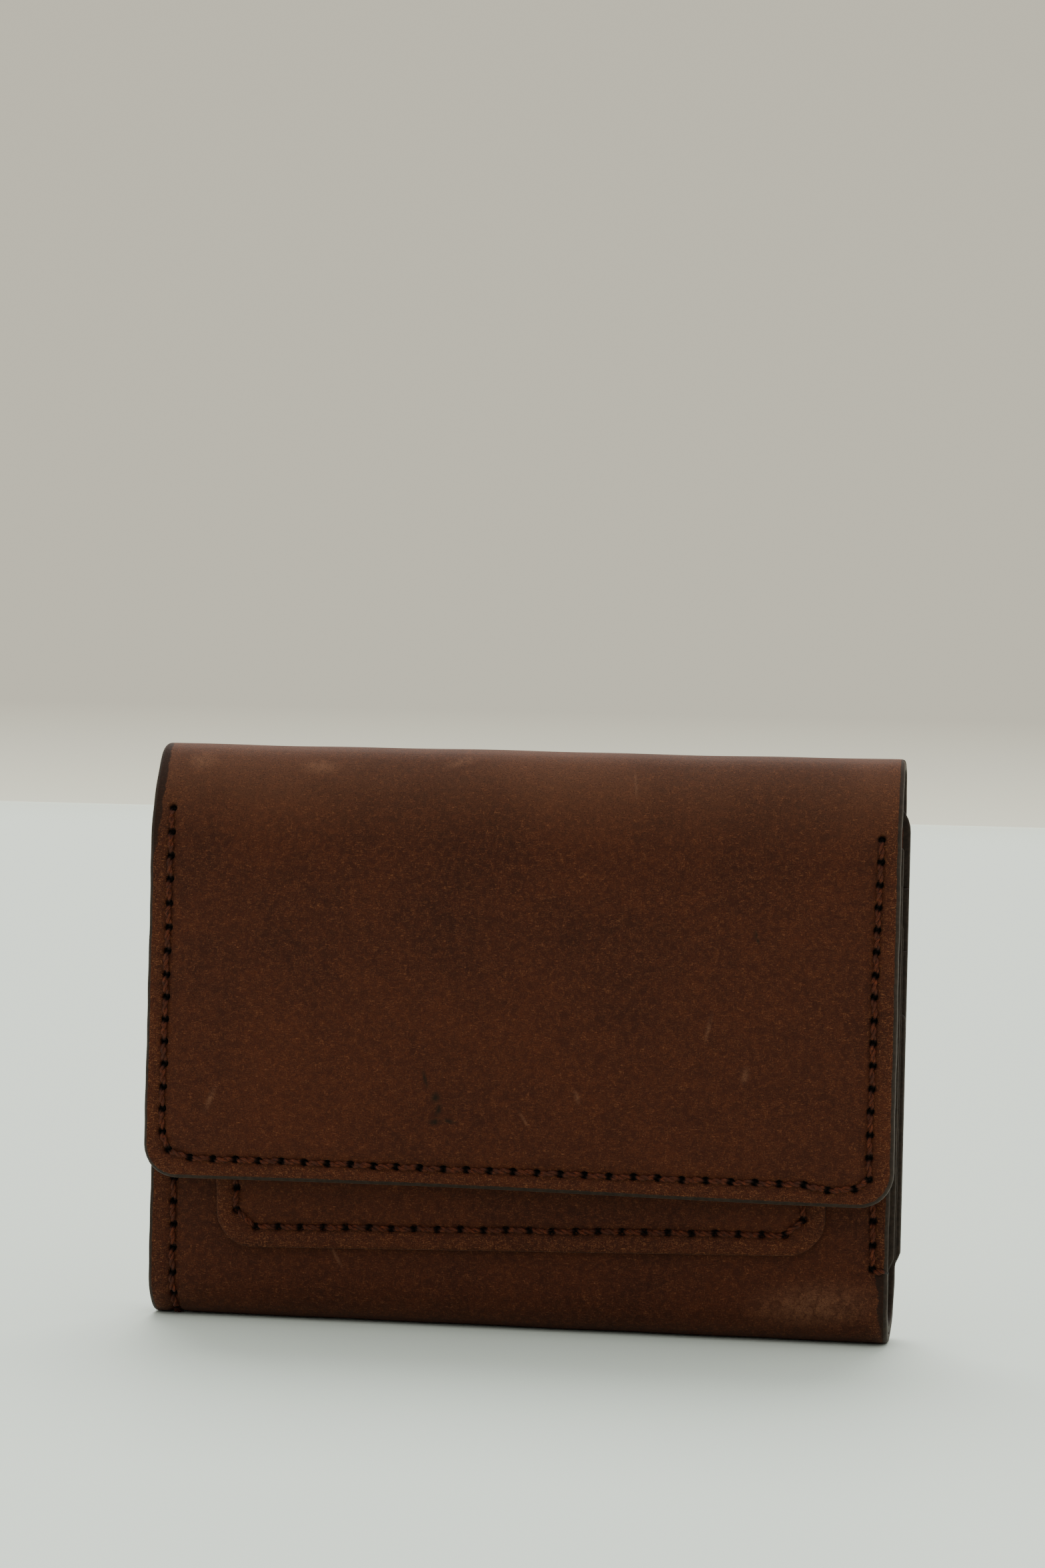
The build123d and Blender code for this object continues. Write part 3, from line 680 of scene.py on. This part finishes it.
def leather(name, paint_to, rough=0.72, nap=1.0, marks=False):
    """Waxed nubuck: fine light nap over mottled brown, darker in the pores, painted on the edges."""
    n = Nodes(name)
    where = n.attribute("flat").outputs["Vector"]
    edge = n.attribute("edge").outputs["Fac"]
    pit = n.attribute("pit").outputs["Fac"]
    stain_and_shade = n.attribute("stain").outputs["Fac"]
    cloudy = n.noise(where, 0.045, 3, 0.6, 0.4)
    mottle = n.noise(where, 0.32, 5, 0.65, 0.6)
    pores = n.noise(where, 5.5, 3, 0.6)
    lean = n.noise(n.stretched(where, (1.0, 3.2, 1), (0, 0, 0.5)), 2.0, 3, 0.6, 1.2)
    cross = n.noise(n.stretched(where, (3.0, 1.0, 1), (0, 0, -0.35)), 2.1, 3, 0.6, 1.2)
    fibres = n.calc(n.ramp(lean, 0.52, 0.72), n.ramp(cross, 0.54, 0.74), "MAXIMUM")
    grit = n.noise(where, 1.1, 4, 0.7, 0.8)
    tone = n.calc(n.calc(n.ramp(cloudy, 0.3, 0.7), 0.32, "MULTIPLY"),
                  n.calc(n.ramp(mottle, 0.3, 0.72), 0.22, "MULTIPLY"))
    tone = n.calc(tone, n.calc(n.ramp(grit, 0.36, 0.64), 0.46, "MULTIPLY"), clamp=True)
    if marks:
        along = n.node("ShaderNodeSeparateXYZ", ((0, where),)).outputs[1]
        # The flap's colour grows lighter over its lower half.
        tone = n.calc(tone, n.ramp(along, 196, 222, 0.0, 0.17), clamp=True)
    colour = n.mix(tone, DARK, MID)
    worn = n.calc(n.ramp(grit, 0.35, 0.7, 0.2, 1.0), fibres, "MULTIPLY")
    margin = n.ramp(edge, 3.4, 1.2, 0.0, 0.55)
    worn = n.calc(worn, n.calc(margin, fibres, "MULTIPLY"), clamp=True)
    if marks:
        # Over the top fold the leather is lighter: partly real wear, partly painted light falling from above.
        # The oval marks are real rubs.
        over_top = n.calc(n.ramp(along, 156, 164), n.ramp(along, 186, 170), "MULTIPLY")
        rubs_and_top_light = n.calc(n.spots(where, MARKS_LIGHT), n.ramp(grit, 0.3, 0.65, 0.12, 0.62), "MULTIPLY")
        rubs_and_top_light = n.calc(rubs_and_top_light, n.calc(over_top, n.ramp(cloudy, 0.3, 0.7, 0.31, 0.48), "MULTIPLY"), clamp=True)
        colour = n.mix(rubs_and_top_light, colour, WORN_AND_TOP_LIGHT)
    colour = n.mix(n.calc(worn, 0.8 * nap, "MULTIPLY"), colour, LIGHT)
    colour = n.mix(n.ramp(pores, 0.47, 0.35, 0.0, 0.65), colour, times(DARK, 0.45))
    if marks:
        uneven = n.ramp(n.noise(where, 0.9, 3), 0.3, 0.55, 0.35, 1.0)
        colour = n.mix(n.calc(n.spots(where, MARKS_DARK), uneven, "MULTIPLY"), colour, SMUDGE)
    # The dark band: real burnished stain along the outer leather's folded edges, and painted shade across the
    # inside of the bottom fold on the linings.
    rim = n.calc(stain_and_shade, n.calc(n.calc(mottle, 0.5, "SUBTRACT"), 1.6, "MULTIPLY"))
    band = n.calc(n.ramp(rim, -0.12, 0.22), 0.85, "MULTIPLY")
    colour = n.mix(band, colour, BURNISHED_AND_SHADE)
    # Painted shade: the leather turns near black down in the stitch holes.
    colour = n.mix(n.ramp(pit, 0.05, 0.75, 0.0, 0.97), colour, HOLE_SHADE)
    wander = n.calc(n.calc(n.noise(where, 0.8, 4, 0.7), 0.5, "SUBTRACT"), 0.35, "MULTIPLY")
    ragged = n.calc(edge, wander)
    painted = n.ramp(ragged, paint_to + 0.06, paint_to - 0.06)
    paint = n.mix(n.ramp(n.noise(where, 1.3, 4, 0.6), 0.35, 0.7), PAINT, times(PAINT, 1.9))
    colour = n.mix(painted, colour, paint)
    n.put(n.shader.inputs["Base Color"], colour)
    roughness = n.mix(painted, (rough,) * 3, (0.6,) * 3)
    n.put(n.shader.inputs["Roughness"], n.node("ShaderNodeRGBToBW", ((0, roughness),)).outputs[0])
    n.put(n.shader.inputs["Specular IOR Level"], 0.15)
    n.put(n.shader.inputs["Sheen Weight"], 0.08 * nap)
    n.put(n.shader.inputs["Sheen Roughness"], 0.45)
    n.put(n.shader.inputs["Sheen Tint"], (0.85, 0.62, 0.48))
    grain = n.calc(n.calc(pores, 0.5, "MULTIPLY"), n.calc(fibres, 0.35, "MULTIPLY"))
    grain = n.calc(grain, n.calc(mottle, 1.2, "MULTIPLY"))
    soft = n.calc(grain, n.ramp(painted, 0, 1, 1.0, 0.25), "MULTIPLY")
    bump = n.node("ShaderNodeBump", (("Height", soft), ("Strength", 0.45), ("Distance", 0.00012)))
    n.put(n.shader.inputs["Normal"], bump.outputs["Normal"])
    return n.material


def waxed_thread():
    n = Nodes("thread")
    uv = n.node("ShaderNodeTexCoord").outputs["UV"]
    strands = n.noise(n.stretched(uv, (9.0, 1.6, 1.0), (0, 0, 0.35)), 1.0, 3, 0.6)
    patches = n.noise(n.stretched(uv, (0.0, 0.5, 1.0)), 1.0, 3, 0.6)
    colour = n.mix(n.ramp(strands, 0.36, 0.66), (0.025, 0.0048, 0.0017), (0.150, 0.033, 0.0100))
    colour = n.mix(n.ramp(patches, 0.42, 0.62, 0.0, 0.6), colour, (0.040, 0.013, 0.007))
    # Painted shade: the thread turns near black where it dives into the holes.
    colour = n.mix(n.calc(n.attribute("pit").outputs["Fac"], 0.97, "MULTIPLY"), colour,
                   (0.003, 0.0015, 0.001))
    n.put(n.shader.inputs["Base Color"], colour)
    n.put(n.shader.inputs["Roughness"], 0.6)
    n.put(n.shader.inputs["Specular IOR Level"], 0.15)
    n.put(n.shader.inputs["Sheen Weight"], 0.02)
    bump = n.node("ShaderNodeBump", (("Height", strands), ("Strength", 0.5), ("Distance", 0.00008)))
    n.put(n.shader.inputs["Normal"], bump.outputs["Normal"])
    return n.material


def plated():
    n = Nodes("magnet_plate")
    n.put(n.shader.inputs["Base Color"], (0.6, 0.6, 0.62))
    n.put(n.shader.inputs["Metallic"], 1.0)
    n.put(n.shader.inputs["Roughness"], 0.3)
    return n.material


OUTER = leather("outer_leather", paint_to=0.55, marks=True)
PATCH = leather("patch_leather", paint_to=-0.2)
INNER = leather("lining_leather", paint_to=0.12, rough=0.5, nap=0.5)
POCKETS = leather("pocket_leather", paint_to=0.12, rough=0.5, nap=0.5)
THREAD = waxed_thread()

# Outer leather: four sheets that meet on flat stretches

FRONT_SIDES, SIDES = (-53.8, 53.35), (-53.95, 53.95)
SMALL_CORNER, WIDE_CORNER = 1.8, 4.9


def clear_cut(start, end):
    """A place between two distances that is far from every hole."""
    tries = np.arange(start, end, 0.05)
    gaps = [np.abs(OUTER_HOLES[:, 1] - one).min() for one in tries]
    return float(tries[int(np.argmax(gaps))])


CUT_LOW = clear_cut(STARTS[2] - 0.9, STARTS[3] + 0.9)
CUT_BACK = clear_cut(back_s(36), back_s(46))
CUT_TOP = float(STARTS[6] + 1.75)


def proud(s):
    """How far the layers inside a panel stand out beyond the outer leather on the right."""
    front, back = (STARTS[1] - 4.2 - s) / 2.2, (s - back_s(10.3)) / 2.2
    return PROUD * smooth(min(1.0, max(0.0, front, back)))


def edge_of_strip(which, s):
    """The strip's left (0) or right (1) edge: the front panel is a little narrower than the back."""
    share = min(1.0, max(0.0, (s - STARTS[1]) / 26))
    return FRONT_SIDES[which] + (SIDES[which] - FRONT_SIDES[which]) * smooth(share)


outer_top = Sewn(level(HALF), (FLAP_SEAM, LEFT_SEAM, FRONT_SEAM, BACK_SEAM), waves=1.0)
outer_under = Sewn(level(-HALF), ())


def strip_band(low, high, corners_low=0.0, corners_high=0.0, lining=False):
    """Outline of a stretch of the strip, with its low or high corners rounded. A lining stands proud
    on the right, where it is sewn into a panel."""
    def side(which, s):
        return edge_of_strip(which, s) + (proud(s) if which and lining else 0.0)

    rows = np.linspace(low + corners_low, high - corners_high,
                       max(2, round((high - low) / OUTLINE_STEP)) + 1).tolist()
    turn = np.linspace(0, math.pi / 2, 9).tolist()
    low_left, low_right = side(0, low), side(1, low)
    high_left, high_right = side(0, high), side(1, high)
    r, q = corners_low, corners_high
    points = [(x, low) for x in np.linspace(low_left + r, low_right - r, 135)]
    if r:
        points += [(low_right - r + r * math.sin(a), low + r - r * math.cos(a)) for a in turn[1:-1]]
    points += [(side(1, s), s) for s in (rows if r else rows[1:])]
    if q:
        points += [(high_right - q + q * math.cos(a), high - q + q * math.sin(a)) for a in turn[1:-1]]
    points += [(x, high) for x in np.linspace(high_right - q, high_left + q, 135)[0 if q else 1:]]
    if q:
        points += [(high_left + q - q * math.sin(a), high - q + q * math.cos(a)) for a in turn[1:-1]]
    points += [(side(0, s), s) for s in (rows[::-1] if q else rows[::-1][1:])]
    if r:
        points += [(low_left + r - r * math.cos(a), low + r - r * math.sin(a)) for a in turn[1:-1]]
    else:
        points.pop()
    return [(float(x), float(s)) for x, s in points]


def flap_edge(outline):
    """The flap's bottom edge isn't quite straight."""
    out = []
    for x, s in outline:
        share = min(1.0, max(0.0, (s - (STRIP - 7)) / 7))
        out.append((x, s - share * (0.25 + 0.2 * math.sin(x * 0.055 + 2.2) - 0.15 * x / 54)))
    return out


front_fold = sheet("outer_front_fold", fray(strip_band(0.0, CUT_LOW, SMALL_CORNER), 0.05, (CUT_LOW,)),
                   on_strip, outer_top, outer_under, OUTER, (0.55, 0.2), (CUT_LOW,), stain_and_shade=stain)
fold_back = sheet("outer_fold_back", fray(strip_band(CUT_LOW, CUT_BACK), 0.05, (CUT_LOW, CUT_BACK)),
                  on_strip, outer_top, outer_under, OUTER, (0.55, 0.2), (CUT_LOW, CUT_BACK),
                  stain_and_shade=stain)
back_top = sheet("outer_back_top", fray(strip_band(CUT_BACK, CUT_TOP), 0.05, (CUT_BACK, CUT_TOP)),
                 on_strip, outer_top, outer_under, OUTER, (0.55, 0.2), (CUT_BACK, CUT_TOP),
                 stain_and_shade=stain)
top_flap = sheet("outer_top_flap",
                 flap_edge(fray(strip_band(CUT_TOP, STRIP, corners_high=WIDE_CORNER), 0.05, (CUT_TOP,))),
                 on_strip, outer_top, outer_under, OUTER, (0.85, 0.05), (CUT_TOP,), stain_and_shade=stain)


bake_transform(front_fold)
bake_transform(fold_back)
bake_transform(back_top)
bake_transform(top_flap)
for piece, node in ((front_fold, "front_outer_leather"), (fold_back, "bottom_fold_leather"),
                    (back_top, "back_outer_leather"), (top_flap, "flap_outer_leather")):
    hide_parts(node)
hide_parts("top_fold_leather")

# Linings

SLOT_TOPS = [corner(name, 1, 2) for name in ("card_slot_lower", "card_slot_middle", "card_slot_upper")]
POCKET_TOP = corner("front_inner_pocket", 1, 2)

UNDER_FLAP, UNDER_BACK = -HALF, -HALF - 0.3
flap_under = Sewn(level(UNDER_FLAP - LINING), (FLAP_SEAM,), 0.2, way=-1)
flap_lining_low = flap_s(corner("flap_lining", 1, 2) - 0.3)
flap_lining = sheet("flap_lining_piece",
                    flap_edge(fray(strip_band(flap_lining_low, STRIP, 0.6, WIDE_CORNER), 0.05, ())),
                    on_strip, Sewn(level(UNDER_FLAP), ()), flap_under, INNER, (0.05, 0.4))
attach(flap_lining, "flap")
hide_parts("flap_lining")

lining_face = Sewn(tucked(UNDER_BACK, 0.3), ())
lining_under = Sewn(level(UNDER_BACK - LINING), (
    [hole for hole in LEFT_SEAM if hole[1] < FRONT_TOP - POCKET_TOP],
    [hole for hole in FRONT_SEAM if hole[1] < FRONT_TOP - POCKET_TOP],
    [hole for hole in LEFT_SEAM if hole[1] > back_s(SLOT_TOPS[-1])],
    [hole for hole in BACK_SEAM if hole[1] > back_s(SLOT_TOPS[-1])]), 0.2, way=-1)
# The linings carry painted shade right across the inside of the bottom fold.
lining_fold = sheet("lining_front_fold", strip_band(1.5, CUT_LOW, 0.6, lining=True), on_strip, lining_face,
                    lining_under, INNER, (0.2, 0.3), (CUT_LOW,), stain_and_shade=painted_fold_shade, burnished=True)
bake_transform(lining_fold)
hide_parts("front_lining")
lining_back = sheet("lining_fold_back",
                    strip_band(CUT_LOW, back_s(HEIGHT - REAR), 0, WIDE_CORNER, lining=True), on_strip,
                    lining_face, lining_under, INNER, (0.2, 0.3), (CUT_LOW,), stain_and_shade=painted_fold_shade,
                    burnished=True)
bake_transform(lining_back)
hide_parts("bottom_fold_lining", "back_lining")

# Pockets: flat sheets, a little proud of the outer leather on the right


def down_front(seam, low, high):
    """Holes of a strip seam on the front panel, as points on a flat face between two heights."""
    return [np.array((x, FRONT_TOP - s)) for x, s in seam if s < STARTS[1] and low < FRONT_TOP - s < high]


def up_back(seam, low, high):
    """The same on the back panel."""
    return [np.array((x, s - STARTS[4] + LOW)) for x, s in seam
            if s > STARTS[4] and low < s - STARTS[4] + LOW < high]


def row(half, z):
    """Holes in a level row across a pocket."""
    return holes_along([(-half, z), (half, z)])


BOTTOM = corner("card_slot_lower", 0, 2)
POCKET_SEAMS = {
    "card_slot_lower": (up_back(LEFT_SEAM, BOTTOM, SLOT_TOPS[0]), up_back(BACK_SEAM, BOTTOM, SLOT_TOPS[0]),
                        row(48.2, BOTTOM + 3.0)),
    "card_slot_middle": (up_back(LEFT_SEAM, SLOT_TOPS[0], SLOT_TOPS[1]),
                         up_back(BACK_SEAM, SLOT_TOPS[0], SLOT_TOPS[1]), row(44.5, BOTTOM + 6.0)),
    "card_slot_upper": (up_back(LEFT_SEAM, SLOT_TOPS[1], SLOT_TOPS[2]),
                        up_back(BACK_SEAM, SLOT_TOPS[1], SLOT_TOPS[2]), row(44.5, BOTTOM + 10.5)),
    "front_inner_pocket": (down_front(LEFT_SEAM, BOTTOM, POCKET_TOP),
                           down_front(FRONT_SEAM, BOTTOM, POCKET_TOP)),
}
inner_threads = []

for name, body, way in (("card_slot_lower", "back", -1), ("card_slot_middle", "back", -1),
                        ("card_slot_upper", "back", -1), ("front_inner_pocket", "front", 1)):
    low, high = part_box(name)
    left, right, bottom, top = low[0] / MM, high[0] / MM, low[2] / MM, high[2] / MM
    right += 0.3
    outline = rounded(left, right, bottom, top, (WIDE_CORNER, SMALL_CORNER, 0.8, 0.8))
    if name in ("card_slot_middle", "card_slot_upper"):
        stem, foot = 47.0, top - 11.0
        outline = resample([(-stem, bottom), (stem, bottom), (stem, foot), (right, foot), (right, top),
                            (left, top), (left, foot), (-stem, foot)])
    place = flat((low[1] if way < 0 else high[1]) / MM, way)
    face = Sewn(level(0.0), POCKET_SEAMS[name], 0.18)
    pocket = sheet(name + "_piece", outline, place, face, Sewn(tucked(-POCKET, -0.1), ()), POCKETS,
                   (0.28, 0.2), burnished=True)
    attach(pocket, body)
    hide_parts(name)
    inner_threads.append((name, body, face.stitches, place, face))

PATCH_SHIFT, PATCH_LOW, PATCH_TILT = 0.5, 11.8, 1.5
on_patch = flat(PATCH_FACE, -1, PATCH_TILT, (PATCH_SHIFT, PATCH_LOW))
patch_top = Sewn(level(0.0), (PATCH_SEAM,), 0.28)
patch = sheet("patch_pocket_piece",
              fray(rounded(-PATCH_HALF, PATCH_HALF, 0, PATCH_TALL, (5.4, 5.4, 3, 3)), 0.08, ()), on_patch,
              patch_top, Sewn(level(-1.05), ()), PATCH, (0.5, 0.05))
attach(patch, "front")
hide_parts("patch_pocket")

# Threads, one piece for each CAD thread

CREASE_FRONT, CREASE_REAR = (STARTS[1] + STARTS[2]) / 2, (STARTS[3] + STARTS[4]) / 2


def stitches(seam, low=-1e3, high=1e3):
    """A seam's pairs of neighbouring holes, between two distances along the strip."""
    return [(a, b) for a, b in zip(seam, seam[1:]) if low <= (a[1] + b[1]) / 2 < high]


def tie_off(last):
    """The stitch that ends a seam, from its last hole over the panel's right edge."""
    return [(last, np.array((FRONT_SIDES[1] - 0.1, last[1] + 0.5)))]


for name, body, pairs, place, face in (
        ("flap_thread", "flap", stitches(FLAP_SEAM), on_strip, outer_top),
        ("patch_thread", "front", stitches(PATCH_SEAM), on_patch, patch_top),
        ("front_thread_left", "front", stitches(LEFT_SEAM, high=CREASE_FRONT), on_strip, outer_top),
        ("front_thread_right", "front", stitches(FRONT_SEAM) + tie_off(FRONT_SEAM[-1]), on_strip,
         outer_top),
        ("bottom_fold_thread", "bottom_fold", stitches(LEFT_SEAM, CREASE_FRONT, CREASE_REAR), on_strip,
         outer_top),
        ("back_thread_left", "back", stitches(LEFT_SEAM, CREASE_REAR), on_strip, outer_top),
        ("back_thread_right", "back", stitches(BACK_SEAM), on_strip, outer_top)):
    made = thread(name + "_piece", pairs, place, face, THREAD, fuzz=4)
    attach(made, body)
    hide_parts(name)

inner_threads += [
    ("flap_lining", "flap", flap_under.stitches, on_strip, flap_under),
    ("front_lining", "front", [pair for pair in lining_under.stitches if pair[0][1] < STARTS[1]],
     on_strip, lining_under),
    ("back_lining", "back", [pair for pair in lining_under.stitches if pair[0][1] > STARTS[4]],
     on_strip, lining_under)]
for name, body, pairs, place, face in inner_threads:
    made = thread(name + "_stitches", pairs, place, face, THREAD)
    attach(made, body)
    if name == "card_slot_lower":
        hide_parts("card_slot_thread")

for name in ("flap_magnet", "front_magnet"):
    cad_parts[name].data.materials.clear()
    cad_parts[name].data.materials.append(plated())

# Stage: the floor and wall reach WIDE to each side, and the wall stands at FAR

def plain(name, colour):
    n = Nodes(name)
    n.put(n.shader.inputs["Base Color"], colour)
    n.put(n.shader.inputs["Roughness"], 0.5)
    n.put(n.shader.inputs["Specular IOR Level"], 0.35)
    return n


WIDE, NEAR, FAR, WALL_TOP = 9000, -3000, 6600, 1900
floor = make_mesh("floor", [(-WIDE, NEAR, 0), (WIDE, NEAR, 0), (WIDE, FAR, 0), (-WIDE, FAR, 0)],
                  [(0, 1, 2, 3)], plain("floor", (0.850, 0.962, 0.860)).material)
wall_nodes = plain("backdrop", (0.0, 0.0, 0.0))
wall_spot = wall_nodes.node("ShaderNodeNewGeometry").outputs["Position"]
wall_height = wall_nodes.node("ShaderNodeSeparateXYZ", ((0, wall_spot),)).outputs[2]
low_glow, high_glow = (1.14, 1.12, 0.89), (0.700, 0.660, 0.525)
wall_nodes.put(wall_nodes.shader.inputs["Emission Color"],
               wall_nodes.mix(wall_nodes.ramp(wall_height, 0.0, 0.21, smooth_step=False),
                              low_glow, high_glow))
wall_nodes.put(wall_nodes.shader.inputs["Emission Strength"], 1.0)
wall = make_mesh("backdrop", [(-WIDE, FAR, 0), (WIDE, FAR, 0), (WIDE, FAR, WALL_TOP), (-WIDE, FAR, WALL_TOP)],
                 [(0, 1, 2, 3)], wall_nodes.material)
wall.visible_shadow = False

world = bpy.data.worlds.new("studio")
world.use_nodes = True
bpy.context.scene.world = world
background = world.node_tree.nodes["Background"]
toward = world.node_tree.nodes.new("ShaderNodeSeparateXYZ")
rise = world.node_tree.nodes.new("ShaderNodeMapRange")
for key, value in (("From Min", 0.0), ("From Max", 0.9), ("To Min", 0.19), ("To Max", 1.25)):
    rise.inputs[key].default_value = value
directions = world.node_tree.nodes.new("ShaderNodeTexCoord").outputs["Generated"]
for first, second in ((directions, toward.inputs[0]), (toward.outputs[2], rise.inputs["Value"]),
                      (rise.outputs["Result"], background.inputs["Strength"])):
    world.node_tree.links.new(first, second)
SOFT_WHITE = (1.0, 0.985, 0.96)
background.inputs["Color"].default_value = (*SOFT_WHITE, 1.0)

sun_data = bpy.data.lights.new("overhead", "SUN")
sun_data.energy, sun_data.angle, sun_data.color = 2.25, math.radians(38), SOFT_WHITE
made = bpy.data.objects.new("overhead", sun_data)
made.location = (-0.1, 0.7, 1.0)
made.rotation_euler = (-made.location).to_track_quat("-Z", "Y").to_euler()
bpy.context.scene.collection.objects.link(made)

# Camera

camera_data = bpy.data.cameras.new("camera")
camera_data.sensor_fit = "VERTICAL"
camera_data.sensor_height = 36.0
camera_data.lens = 81.12
camera_data.clip_start, camera_data.clip_end = 0.01, 100
camera = bpy.data.objects.new("camera", camera_data)
yaw, pitch, roll = math.radians(8.066), math.radians(-0.146), math.radians(1.389)
forward = Vector((-math.sin(yaw) * math.cos(pitch), math.cos(yaw) * math.cos(pitch), math.sin(pitch)))
level_right = Vector((math.cos(yaw), math.sin(yaw), 0))
level_up = level_right.cross(forward)
right = level_right * math.cos(roll) + level_up * math.sin(roll)
upward = level_up * math.cos(roll) - level_right * math.sin(roll)
turned = Matrix((right, upward, -forward)).transposed().to_4x4()
camera_at = (0.0706, -0.5062, 0.0800)
camera.matrix_world = Matrix.Translation(camera_at) @ turned
bpy.context.scene.collection.objects.link(camera)
bpy.context.scene.camera = camera
